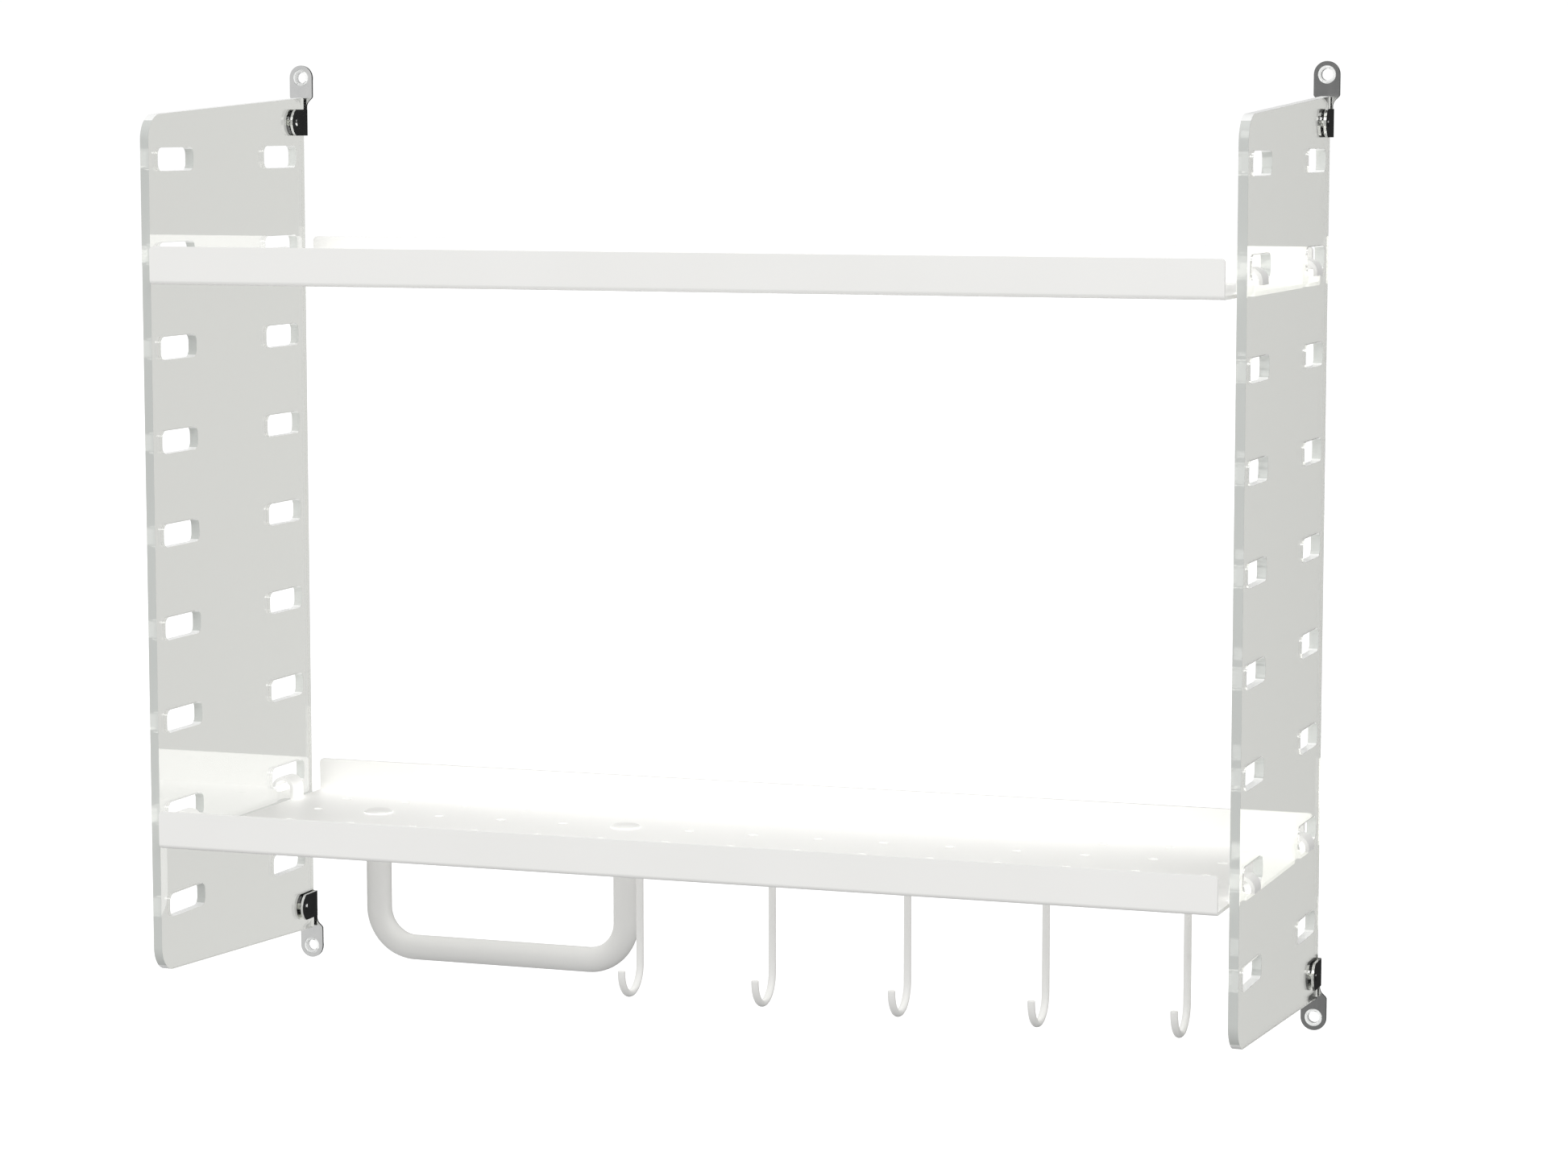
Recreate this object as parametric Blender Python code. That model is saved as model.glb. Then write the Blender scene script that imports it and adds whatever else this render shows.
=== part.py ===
"""Two-shelf wall rack: slotted clear side panels, perforated steel shelves, a towel bar and swivel hooks.

Metres, +X right along the wall, +Y into the wall, +Z up. The wall is the plane Y = 0, and the origin is
the centre of the four wall screw positions.
"""

import math

import bmesh
import bpy
from mathutils import Matrix, Vector

MM = 0.001

# Side panels: clear acrylic sheet standing at right angles to the wall.
PANEL_INNER_X = 294.0 * MM
PANEL_THICK = 5.0 * MM
PANEL_BACK_Y = -5.5 * MM
PANEL_FRONT_Y = -192.5 * MM
PANEL_BACK_HALF = 240.0 * MM
PANEL_FRONT_HALF = 230.1 * MM
PANEL_FRONT_RADIUS = 13.0 * MM
PANEL_BACK_RADIUS = 1.0 * MM

# Slots in the panels, two columns of nine.
SLOT_ROWS = 9
SLOT_TOP_Z = 206.7 * MM
SLOT_PITCH = 50.31 * MM
SLOT_COLUMNS_Y = (-161.8 * MM, -36.1 * MM)
SLOT_LENGTH = 40.8 * MM
SLOT_HEIGHT = 12.4 * MM
SLOT_RADIUS = 4.0 * MM

# Shelves: perforated sheet folded up at the front and the back.
SHEET = 2.0 * MM
SHELF_HALF_X = 290.0 * MM
SHELF_FRONT_Y = -201.3 * MM
SHELF_BACK_Y = -1.3 * MM
SHELF_HEIGHT = 20.0 * MM
SHELF_BOTTOM_Z = {"upper_shelf": 141.2 * MM, "lower_shelf": -160.66 * MM}
FOLD_RADIUS = 2.4 * MM
RIM_END_RADIUS = 2.0 * MM

# Round holes in the shelf floors, on a square grid.
HOLE_PITCH = 37.24 * MM
HOLE_COLUMNS = 15
HOLE_ROWS = 5
HOLE_BACK_Y = -29.4 * MM
HOLE_DIAMETER = 5.2 * MM
HOLE_SIDES = 8

# Straps at the shelf ends, which reach through a slot and hook over its lower edge.
STRAP_COLUMNS_Y = (-161.9 * MM, -36.2 * MM)
STRAP_WIDTH = 13.5 * MM
STRAP_ARCH_X = 294.65 * MM
STRAP_ARCH_RISE = 8.1 * MM
STRAP_ARCH_RADIUS = 4.65 * MM
STRAP_LEG_DROP = 1.9 * MM
STRAP_ARCH_STEPS = 10

# Wire hooks hanging from the front holes of the lower shelf.
HOOK_FIRST_COLUMN = -1
HOOK_COLUMN_STEP = 2
HOOK_COUNT = 5
HOOK_ROW = 3
WIRE_DIAMETER = 4.0 * MM
WIRE_SIDES = 8
HOOK_STEM = 59.0 * MM
HOOK_RADIUS = 13.4 * MM
HOOK_TIP_RISE = 0.9 * MM
HOOK_HEAD_DIAMETER = 9.0 * MM
HOOK_HEAD_HEIGHT = 2.2 * MM

# Towel bar under the lower shelf.
BAR_COLUMNS = (-6, -2)
BAR_ROW = 1
BAR_DIAMETER = 14.0 * MM
BAR_SIDES = 16
BAR_BOTTOM_Z = -234.0 * MM
BAR_BEND_RADIUS = 22.0 * MM
BAR_TAP_DIAMETER = 4.8 * MM
BAR_TAP_DEPTH = 14.0 * MM
CAP_DIAMETER = 16.0 * MM
CAP_HEIGHT = 2.2 * MM
CAP_SHANK_DIAMETER = 4.0 * MM
CAP_SHANK_LENGTH = 14.0 * MM

# Wall brackets: a folded clip that straddles the panel, with a screw tab above or below it.
CLIP_X = 296.5 * MM
CLIP_SHEET = 1.5 * MM
CLIP_GAP = 5.6 * MM
CLIP_BACK_Y = -2.8 * MM
CLIP_ARC_START_Y = -18.7 * MM
CLIP_ARC_SAG = 5.0 * MM
CLIP_LOW_Z = 218.5 * MM
CLIP_HIGH_Z = 233.3 * MM
PIN_Y = -17.1 * MM
PIN_Z = 225.9 * MM
PIN_SHANK_DIAMETER = 2.8 * MM
PIN_HOLE_DIAMETER = 3.6 * MM
PIN_HEAD_DIAMETER = 4.6 * MM
PIN_HEAD_HEIGHT = 0.8 * MM
NECK_HALF = 3.3 * MM
NECK_TOP_Z = 236.6 * MM
TAB_HALF = 7.0 * MM
TAB_SHOULDER_Z = 240.1 * MM
TAB_END_Z = 258.2 * MM
TAB_FRONT_Y = -3.6 * MM
TAB_BACK_Y = -2.3 * MM
TAB_HOLE_DIAMETER = 9.4 * MM
SCREW_Z = 251.2 * MM

# Clear bushing in each screw tab; its flange stands between the tab and the wall.
BUSHING_BORE = 6.2 * MM
BUSHING_NOSE_DIAMETER = 8.8 * MM
BUSHING_NOSE_Y = -3.9 * MM
BUSHING_FLANGE_DIAMETER = 12.4 * MM
BUSHING_FLANGE = 2.0 * MM

# Slack left between two pieces that touch.
CLEARANCE = 0.3 * MM

LOOKS = {
    "clear_acrylic": ((0.90, 0.93, 0.90, 1.0), 0.08, 0.0),
    "white_coat": ((0.86, 0.86, 0.84, 1.0), 0.45, 0.0),
    "chrome": ((0.72, 0.73, 0.74, 1.0), 0.12, 1.0),
    "clear_plastic": ((0.92, 0.94, 0.92, 1.0), 0.15, 0.0),
}


def look(name):
    """The Principled material of this name, made once."""
    if name in bpy.data.materials:
        return bpy.data.materials[name]
    colour, roughness, metallic = LOOKS[name]
    material = bpy.data.materials.new(name)
    material.use_nodes = True
    shader = material.node_tree.nodes["Principled BSDF"]
    shader.inputs["Base Color"].default_value = colour
    shader.inputs["Roughness"].default_value = roughness
    shader.inputs["Metallic"].default_value = metallic
    material.diffuse_color = colour
    return material


def add_object(name, bm, slot, origin=(0.0, 0.0, 0.0)):
    """An object from a mesh in world coordinates, with its origin at the point given."""
    origin = Vector(origin)
    bmesh.ops.translate(bm, verts=bm.verts, vec=-origin)
    bmesh.ops.recalc_face_normals(bm, faces=bm.faces)
    mesh = bpy.data.meshes.new(name)
    bm.to_mesh(mesh)
    bm.free()
    mesh.materials.append(look(slot))
    result = bpy.data.objects.new(name, mesh)
    result.location = origin
    bpy.context.scene.collection.objects.link(result)
    return result


def combine(target, operation, tools):
    """Joins, cuts or trims the target with each tool in turn, then discards the tools."""
    for tool in tools:
        tool.hide_render = True
        tool.display_type = "WIRE"
        change = target.modifiers.new(tool.name, "BOOLEAN")
        change.operation = operation
        change.solver = "EXACT"
        change.object = tool
    bpy.context.view_layer.update()
    graph = bpy.context.evaluated_depsgraph_get()
    finished = bpy.data.meshes.new_from_object(target.evaluated_get(graph))
    target.modifiers.clear()
    target.data = finished
    for tool in tools:
        bpy.data.objects.remove(tool, do_unlink=True)
    return target


def shade_round(target, angle=40.0):
    """Smooth shading over curved faces, with every sharper edge kept crisp."""
    mesh = target.data
    for face in mesh.polygons:
        face.use_smooth = True
    mesh.set_sharp_from_angle(angle=math.radians(angle))


def skin(rings, ring_loop=False):
    """A closed surface through rings of points; the end rings are capped unless the rings form a loop."""
    bm = bmesh.new()
    rows = [[bm.verts.new(point) for point in ring] for ring in rings]
    pairs = list(zip(rows, rows[1:]))
    if ring_loop:
        pairs.append((rows[-1], rows[0]))
    for low, high in pairs:
        for i in range(len(low)):
            j = (i + 1) % len(low)
            bm.faces.new((low[i], low[j], high[j], high[i]))
    if not ring_loop:
        bm.faces.new(rows[0])
        bm.faces.new(rows[-1])
    bmesh.ops.recalc_face_normals(bm, faces=bm.faces)
    return bm


def turned(profile, sides, base, axis="Z", ring_loop=False):
    """A turned solid: the profile lists (radius, height) along the axis, from the base point."""
    turn = math.tau / sides
    rings = []
    for radius, height in profile:
        ring = []
        for i in range(sides):
            across = radius * math.cos(turn * (i + 0.5))
            along = radius * math.sin(turn * (i + 0.5))
            point = {
                "X": Vector((height, across, along)),
                "Y": Vector((across, height, along)),
                "Z": Vector((across, along, height)),
            }[axis]
            ring.append(Vector(base) + point)
        rings.append(ring)
    return skin(rings, ring_loop)


def swept(path, radius, sides):
    """A round bar along a path that stays in one plane."""
    path = [Vector(point) for point in path]
    steps = [(b - a).normalized() for a, b in zip(path, path[1:])]
    bend = next((a.cross(b) for a, b in zip(steps, steps[1:]) if a.cross(b).length > 1e-6), Vector((0, 1, 0)))
    side = bend.normalized()
    turn = math.tau / sides
    rings = []
    for i, centre in enumerate(path):
        before = steps[max(i - 1, 0)]
        after = steps[min(i, len(steps) - 1)]
        along = (before + after).normalized()
        up = along.cross(side)
        stretch = 1.0 / max(along.dot(after), 0.5)
        ring = []
        for k in range(sides):
            angle = turn * (k + 0.5)
            ring.append(centre + radius * (math.cos(angle) * side + stretch * math.sin(angle) * up))
        rings.append(ring)
    return skin(rings)


def arc(centre, radius, start, end, steps):
    """Points on an arc in a plane, from one angle to another in degrees."""
    points = []
    for i in range(steps + 1):
        angle = math.radians(start + (end - start) * i / steps)
        points.append((centre[0] + radius * math.cos(angle), centre[1] + radius * math.sin(angle)))
    return points


def rounded(corners, radii, steps=4):
    """A polygon with its corners rounded; a radius of 0 keeps a corner sharp."""
    points = []
    for i, corner in enumerate(corners):
        here = Vector(corner)
        to_last = (Vector(corners[i - 1]) - here).normalized()
        to_next = (Vector(corners[(i + 1) % len(corners)]) - here).normalized()
        radius = radii[i]
        if radius == 0:
            points.append(tuple(here))
            continue
        half = to_last.angle(to_next) / 2
        centre = here + (to_last + to_next).normalized() * (radius / math.sin(half))
        first = here + to_last * (radius / math.tan(half)) - centre
        last = here + to_next * (radius / math.tan(half)) - centre
        sweep = first.angle_signed(last)
        for k in range(steps + 1):
            spoke = Matrix.Rotation(-sweep * k / steps, 2) @ first
            points.append(tuple(centre + spoke))
    return points


def rectangle(centre, size, radius, steps=3):
    """A rounded rectangle in a plane."""
    u, v = centre
    a, b = size[0] / 2, size[1] / 2
    corners = [(u - a, v - b), (u + a, v - b), (u + a, v + b), (u - a, v + b)]
    return rounded(corners, [radius] * 4, steps)


def in_yz(u, v, w):
    return Vector((w, u, v))


def in_xz(u, v, w):
    return Vector((u, w, v))


def in_xy(u, v, w):
    return Vector((u, v, w))


def plate(loops, near, far, place):
    """A flat plate: the first loop is its outline and the others are holes through it."""
    bm = bmesh.new()
    for points in loops:
        verts = [bm.verts.new(place(u, v, near)) for u, v in points]
        for i in range(len(verts)):
            bm.edges.new((verts[i - 1], verts[i]))
    filled = bmesh.ops.triangle_fill(bm, use_beauty=True, use_dissolve=False, edges=bm.edges[:])
    faces = [item for item in filled["geom"] if isinstance(item, bmesh.types.BMFace)]
    grown = bmesh.ops.extrude_face_region(bm, geom=faces)
    moved = [item for item in grown["geom"] if isinstance(item, bmesh.types.BMVert)]
    bmesh.ops.translate(bm, verts=moved, vec=place(0, 0, far) - place(0, 0, near))
    bmesh.ops.recalc_face_normals(bm, faces=bm.faces)
    return bm


def circle(centre, diameter, sides):
    """A polygon standing in for a round hole."""
    turn = math.tau / sides
    points = []
    for i in range(sides):
        angle = turn * (i + 0.5)
        points.append((centre[0] + diameter / 2 * math.cos(angle), centre[1] + diameter / 2 * math.sin(angle)))
    return points


def hole_y(row):
    return HOLE_BACK_Y - row * HOLE_PITCH


def make_panel(name, side):
    """One side panel; side is -1 at the left and 1 at the right."""
    outline = rounded(
        [
            (PANEL_BACK_Y, -PANEL_BACK_HALF),
            (PANEL_BACK_Y, PANEL_BACK_HALF),
            (PANEL_FRONT_Y, PANEL_FRONT_HALF),
            (PANEL_FRONT_Y, -PANEL_FRONT_HALF),
        ],
        [PANEL_BACK_RADIUS, PANEL_BACK_RADIUS, PANEL_FRONT_RADIUS, PANEL_FRONT_RADIUS],
        5,
    )
    loops = [outline]
    for row in range(SLOT_ROWS):
        for column in SLOT_COLUMNS_Y:
            centre = (column, SLOT_TOP_Z - row * SLOT_PITCH)
            loops.append(rectangle(centre, (SLOT_LENGTH, SLOT_HEIGHT), SLOT_RADIUS, 3))
    for end in (-1, 1):
        loops.append(circle((PIN_Y, end * PIN_Z), PIN_HOLE_DIAMETER, 12))
    near = side * PANEL_INNER_X
    far = side * (PANEL_INNER_X + PANEL_THICK)
    panel = add_object(name, plate(loops, near, far, in_yz), "clear_acrylic", (near, PANEL_BACK_Y, 0))
    shade_round(panel)
    return panel


def fold_section(bottom):
    """The channel section of a shelf: a floor with a rim folded up at the front and the back."""
    top = bottom + SHELF_HEIGHT
    inner = FOLD_RADIUS - SHEET
    floor_top = bottom + SHEET
    corners = [
        (SHELF_BACK_Y, top),
        (SHELF_BACK_Y, bottom),
        (SHELF_FRONT_Y, bottom),
        (SHELF_FRONT_Y, top),
        (SHELF_FRONT_Y + SHEET, top),
        (SHELF_FRONT_Y + SHEET, floor_top),
        (SHELF_BACK_Y - SHEET, floor_top),
        (SHELF_BACK_Y - SHEET, top),
    ]
    return rounded(corners, [0, FOLD_RADIUS, FOLD_RADIUS, 0, 0, inner, inner, 0], 4)


def strap_section(side, bottom):
    """The strap in the XZ plane: up from the end of the floor, over an arch and down outside the panel."""
    arch_z = bottom + STRAP_ARCH_RISE
    outer = STRAP_ARCH_RADIUS + SHEET
    foot = bottom + SHEET / 2
    tip = arch_z - STRAP_LEG_DROP
    points = [(STRAP_ARCH_X - STRAP_ARCH_RADIUS, foot)]
    points += arc((STRAP_ARCH_X, arch_z), STRAP_ARCH_RADIUS, 180, 0, STRAP_ARCH_STEPS)
    points += [(STRAP_ARCH_X + STRAP_ARCH_RADIUS, tip), (STRAP_ARCH_X + outer, tip)]
    points += arc((STRAP_ARCH_X, arch_z), outer, 0, 180, STRAP_ARCH_STEPS)
    points.append((STRAP_ARCH_X - outer, foot))
    return [(side * x, z) for x, z in points]


def make_shelf(name):
    """One perforated shelf with its four straps; the two shelves are the same part."""
    bottom = SHELF_BOTTOM_Z[name]
    top = bottom + SHELF_HEIGHT
    centre = (0, (SHELF_FRONT_Y + SHELF_BACK_Y) / 2, bottom)
    folded = plate([fold_section(bottom)], -SHELF_HALF_X - MM, SHELF_HALF_X + MM, in_yz)
    shelf = add_object(name, folded, "white_coat", centre)
    ends = rounded(
        [
            (-SHELF_HALF_X, bottom - MM),
            (SHELF_HALF_X, bottom - MM),
            (SHELF_HALF_X, top + 1e-6),
            (-SHELF_HALF_X, top + 1e-6),
        ],
        [0, 0, RIM_END_RADIUS, RIM_END_RADIUS],
        3,
    )
    trim = plate([ends], SHELF_FRONT_Y - MM, SHELF_BACK_Y + MM, in_xz)
    combine(shelf, "INTERSECT", [add_object("trim", trim, "white_coat")])
    straps = []
    for side in (-1, 1):
        for column in STRAP_COLUMNS_Y:
            section = strap_section(side, bottom)
            strap = plate([section], column - STRAP_WIDTH / 2, column + STRAP_WIDTH / 2, in_xz)
            straps.append(add_object("strap", strap, "white_coat"))
    combine(shelf, "UNION", straps)
    punches = bmesh.new()
    for column in range(HOLE_COLUMNS):
        for row in range(HOLE_ROWS):
            at = ((column - HOLE_COLUMNS // 2) * HOLE_PITCH, hole_y(row))
            punch = plate([circle(at, HOLE_DIAMETER, HOLE_SIDES)], bottom - MM, bottom + SHEET + MM, in_xy)
            piece = bpy.data.meshes.new("punch")
            punch.to_mesh(piece)
            punch.free()
            punches.from_mesh(piece)
            bpy.data.meshes.remove(piece)
    combine(shelf, "DIFFERENCE", [add_object("punches", punches, "white_coat")])
    shade_round(shelf)
    return shelf


def make_hook(name, column):
    """One J-shaped wire hook, hung by its flat head in a floor hole of the lower shelf."""
    floor_top = SHELF_BOTTOM_Z["lower_shelf"] + SHEET
    x = column * HOLE_PITCH
    y = hole_y(HOOK_ROW)
    bend_z = floor_top - HOOK_STEM
    path = [(x, y, floor_top + CLEARANCE + HOOK_HEAD_HEIGHT / 2), (x, y, bend_z)]
    for along, height in arc((y - HOOK_RADIUS, bend_z), HOOK_RADIUS, 0, -180, 10)[1:]:
        path.append((x, along, height))
    path.append((x, y - 2 * HOOK_RADIUS, bend_z + HOOK_TIP_RISE))
    hook = add_object(name, swept(path, WIRE_DIAMETER / 2, WIRE_SIDES), "white_coat", (x, y, floor_top))
    head = turned(
        [
            (HOOK_HEAD_DIAMETER / 2 - 0.4 * MM, 0),
            (HOOK_HEAD_DIAMETER / 2, 0.4 * MM),
            (HOOK_HEAD_DIAMETER / 2, HOOK_HEAD_HEIGHT - 0.8 * MM),
            (HOOK_HEAD_DIAMETER / 2 - 1.0 * MM, HOOK_HEAD_HEIGHT),
        ],
        16,
        (x, y, floor_top + CLEARANCE),
    )
    combine(hook, "UNION", [add_object("head", head, "white_coat")])
    shade_round(hook, 50.0)
    return hook


def make_towel_bar():
    """The U-shaped bar under the lower shelf, tapped at the top of each leg."""
    top = SHELF_BOTTOM_Z["lower_shelf"] - CLEARANCE
    left, right = (column * HOLE_PITCH for column in BAR_COLUMNS)
    y = hole_y(BAR_ROW)
    bend = BAR_BEND_RADIUS
    path = [(left, y, top)]
    for x, z in arc((left + bend, BAR_BOTTOM_Z + bend), bend, 180, 270, 7):
        path.append((x, y, z))
    for x, z in arc((right - bend, BAR_BOTTOM_Z + bend), bend, -90, 0, 7):
        path.append((x, y, z))
    path.append((right, y, top))
    bar = add_object("towel_bar", swept(path, BAR_DIAMETER / 2, BAR_SIDES), "white_coat", (left, y, top))
    taps = []
    for x in (left, right):
        profile = [(BAR_TAP_DIAMETER / 2, -BAR_TAP_DEPTH), (BAR_TAP_DIAMETER / 2, MM)]
        taps.append(add_object("tap", turned(profile, 12, (x, y, top)), "white_coat"))
    combine(bar, "DIFFERENCE", taps)
    shade_round(bar)
    return bar


def make_bar_cap(name, column):
    """A domed screw on the shelf floor that holds one leg of the towel bar."""
    seat = SHELF_BOTTOM_Z["lower_shelf"] + SHEET + CLEARANCE
    rim = CAP_DIAMETER / 2
    shank = CAP_SHANK_DIAMETER / 2
    profile = [
        (shank - 0.5 * MM, -CAP_SHANK_LENGTH),
        (shank, 0.5 * MM - CAP_SHANK_LENGTH),
        (shank, 0),
        (rim, 0),
        (rim, 0.5 * MM),
    ]
    for angle in (25, 50, 72):
        flat = math.cos(math.radians(angle))
        rise = math.sin(math.radians(angle))
        profile.append((rim * flat, 0.5 * MM + (CAP_HEIGHT - 0.5 * MM) * rise))
    at = (column * HOLE_PITCH, hole_y(BAR_ROW), seat)
    cap = add_object(name, turned(profile, 16, at), "white_coat", at)
    shade_round(cap, 50.0)
    return cap


def make_bracket(name, side, end):
    """One folded wall bracket; end is 1 at the top of the panel and -1 at the bottom."""
    x = side * CLIP_X
    half = CLIP_GAP / 2
    outer = half + CLIP_SHEET
    front = CLIP_ARC_START_Y - CLIP_ARC_SAG
    fold = rounded(
        [
            (x - outer, front - MM),
            (x - outer, CLIP_BACK_Y),
            (x + outer, CLIP_BACK_Y),
            (x + outer, front - MM),
            (x + half, front - MM),
            (x + half, CLIP_BACK_Y - CLIP_SHEET),
            (x - half, CLIP_BACK_Y - CLIP_SHEET),
            (x - half, front - MM),
        ],
        [0, 1.8 * MM, 1.8 * MM, 0, 0, 0.4 * MM, 0.4 * MM, 0],
        3,
    )
    low, high = sorted((end * CLIP_LOW_Z, end * CLIP_HIGH_Z))
    at = (x, CLIP_BACK_Y, end * SCREW_Z)
    bracket = add_object(name, plate([fold], low, high, in_xy), "chrome", at)
    chord = high - low
    radius = (chord * chord / 4 + CLIP_ARC_SAG * CLIP_ARC_SAG) / (2 * CLIP_ARC_SAG)
    spread = math.degrees(math.asin(chord / 2 / radius))
    nose = arc((front + radius, (low + high) / 2), radius, 180 - spread, 180 + spread, 10)
    cheek = nose + [(CLIP_BACK_Y + MM, low - 1e-6), (CLIP_BACK_Y + MM, high + 1e-6)]
    trim = plate([cheek], x - outer - MM, x + outer + MM, in_yz)
    combine(bracket, "INTERSECT", [add_object("trim", trim, "chrome")])
    tab = rounded(
        [
            (x - NECK_HALF, end * (CLIP_HIGH_Z - MM)),
            (x - NECK_HALF, end * NECK_TOP_Z),
            (x - TAB_HALF, end * TAB_SHOULDER_Z),
            (x - TAB_HALF, end * TAB_END_Z),
            (x + TAB_HALF, end * TAB_END_Z),
            (x + TAB_HALF, end * TAB_SHOULDER_Z),
            (x + NECK_HALF, end * NECK_TOP_Z),
            (x + NECK_HALF, end * (CLIP_HIGH_Z - MM)),
        ],
        [0, 4 * MM, 1.5 * MM, 6.95 * MM, 6.95 * MM, 1.5 * MM, 4 * MM, 0],
        6,
    )
    hole = circle((x, end * SCREW_Z), TAB_HOLE_DIAMETER, 20)
    strip = plate([tab, hole], TAB_FRONT_Y, TAB_BACK_Y, in_xz)
    combine(bracket, "UNION", [add_object("strip", strip, "chrome")])
    drill = plate([circle((PIN_Y, end * PIN_Z), PIN_HOLE_DIAMETER, 12)], x - 2 * outer, x + 2 * outer, in_yz)
    combine(bracket, "DIFFERENCE", [add_object("drill", drill, "chrome")])
    shade_round(bracket)
    return bracket


def make_pin(name, side, end):
    """The pin through a bracket and its panel, with a low head at each end."""
    shank = PIN_SHANK_DIAMETER / 2
    head = PIN_HEAD_DIAMETER / 2
    seat = CLIP_GAP / 2 + CLIP_SHEET + CLEARANCE / 3
    tip = seat + PIN_HEAD_HEIGHT
    profile = [
        (head * 0.7, -tip),
        (head, -tip + 0.4 * MM),
        (head, -seat),
        (shank, -seat),
        (shank, seat),
        (head, seat),
        (head, tip - 0.4 * MM),
        (head * 0.7, tip),
    ]
    at = (side * CLIP_X, PIN_Y, end * PIN_Z)
    pin = add_object(name, turned(profile, 12, at, "X"), "chrome", at)
    shade_round(pin, 50.0)
    return pin


def make_bushing(name, side, end):
    """The clear bushing in a screw tab, with its flange flat on the wall."""
    bore = BUSHING_BORE / 2
    nose = BUSHING_NOSE_DIAMETER / 2
    flange = BUSHING_FLANGE_DIAMETER / 2
    profile = [
        (bore, 0),
        (flange, 0),
        (flange, -BUSHING_FLANGE),
        (nose, -BUSHING_FLANGE),
        (nose, BUSHING_NOSE_Y + 0.3 * MM),
        (nose - 0.3 * MM, BUSHING_NOSE_Y),
        (bore, BUSHING_NOSE_Y),
    ]
    at = (side * CLIP_X, 0, end * SCREW_Z)
    bushing = add_object(name, turned(profile, 20, at, "Y", True), "clear_plastic", at)
    shade_round(bushing, 50.0)
    return bushing


def main():
    for leftover in list(bpy.data.objects):
        bpy.data.objects.remove(leftover, do_unlink=True)
    sides = {"left": -1, "right": 1}
    ends = {"top": 1, "bottom": -1}
    for side_name, side in sides.items():
        make_panel(side_name + "_panel", side)
        for end_name, end in ends.items():
            corner = end_name + "_" + side_name
            make_bracket(corner + "_bracket", side, end)
            make_pin(corner + "_pin", side, end)
            make_bushing(corner + "_bushing", side, end)
    for name in SHELF_BOTTOM_Z:
        make_shelf(name)
    make_towel_bar()
    for name, column in zip(("left_bar_cap", "right_bar_cap"), BAR_COLUMNS):
        make_bar_cap(name, column)
    for i in range(HOOK_COUNT):
        make_hook(f"hook_{i + 1}", HOOK_FIRST_COLUMN + i * HOOK_COLUMN_STEP)


main()
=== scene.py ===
"""The two-shelf wall rack with its finishes: clear acrylic sides, white powder-coated steel, bright chrome."""

import math

import bmesh
import bpy
from mathutils import Matrix, Vector


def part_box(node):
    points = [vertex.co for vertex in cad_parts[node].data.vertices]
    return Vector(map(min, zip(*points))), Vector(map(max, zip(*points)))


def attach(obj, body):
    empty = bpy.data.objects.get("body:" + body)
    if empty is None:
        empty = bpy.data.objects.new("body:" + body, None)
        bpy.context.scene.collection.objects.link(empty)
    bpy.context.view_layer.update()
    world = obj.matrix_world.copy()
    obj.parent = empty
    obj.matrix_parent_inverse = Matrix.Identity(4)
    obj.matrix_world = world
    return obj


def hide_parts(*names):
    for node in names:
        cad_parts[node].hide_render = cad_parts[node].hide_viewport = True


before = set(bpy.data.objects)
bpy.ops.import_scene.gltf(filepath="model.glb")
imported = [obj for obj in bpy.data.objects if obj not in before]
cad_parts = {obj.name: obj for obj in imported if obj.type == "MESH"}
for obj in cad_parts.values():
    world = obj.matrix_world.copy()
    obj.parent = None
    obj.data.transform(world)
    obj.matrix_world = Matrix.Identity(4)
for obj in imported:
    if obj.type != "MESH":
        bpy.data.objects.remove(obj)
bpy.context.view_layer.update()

MM = 0.001
SKY, SKY_TOP, SKY_FRONT, SKY_RIGHT = 0.70, 0.32, 0.24, 0.05
BEHIND_CLEAR, VEIL_SLOPE = 0.99, 0.62
# Painted glow of the white coat: its emission strength when seen mirrored or through clear plastic, and when it lights
# other surfaces by bounced light.
MIRROR_PAINTED_GLOW, BOUNCE_PAINTED_GLOW = 0.85, 0.55
FRONT_BOX, TOP_BOX = 14.0, 6.0
# Painted glint: the emission strength on the walls of the shelves' punched holes.
RIM_GLINT = 0.12
X, Y, Z = Vector((1, 0, 0)), Vector((0, 1, 0)), Vector((0, 0, 1))


# ---------------------------------------------------------------- camera, light and floor


def set_camera():
    lens = bpy.data.cameras.new("view")
    lens.sensor_width = 36.0
    lens.lens = 95.69
    lens.clip_end = 60.0
    camera = bpy.data.objects.new("view", lens)
    camera.location = (0.75714, -2.16982, 0.22937)
    camera.rotation_euler = (math.pi / 2 - 0.1127, 0.0, 0.3381)
    bpy.context.scene.collection.objects.link(camera)
    bpy.context.scene.camera = camera


def softbox(name, at, aim, size, power, tint=(1.0, 1.0, 1.0)):
    lamp = bpy.data.lights.new(name, "AREA")
    lamp.shape = "RECTANGLE"
    lamp.size, lamp.size_y = size
    lamp.energy = power
    lamp.color = tint
    holder = bpy.data.objects.new(name, lamp)
    holder.location = at
    holder.rotation_mode = "QUATERNION"
    holder.rotation_quaternion = (Vector(aim) - Vector(at)).to_track_quat("-Z", "Y")
    holder.visible_camera = False
    bpy.context.scene.collection.objects.link(holder)
    return holder


# ---------------------------------------------------------------- shader arithmetic


class Value:
    """A socket that takes part in Python arithmetic: each operator adds a Math node."""

    def __init__(self, tree, socket):
        self.tree = tree
        self.socket = socket

    def math(self, operation, *others):
        return self.tree.node("ShaderNodeMath", {"operation": operation}, [self, *others])[0]

    def __add__(self, other):
        return self.math("ADD", other)

    def __sub__(self, other):
        return self.math("SUBTRACT", other)

    def __mul__(self, other):
        return self.math("MULTIPLY", other)

    def __truediv__(self, other):
        return self.math("DIVIDE", other)

    def __pow__(self, other):
        return self.math("POWER", other)

    def __rsub__(self, other):
        return (self * -1.0) + other

    __radd__ = __add__
    __rmul__ = __mul__


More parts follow.
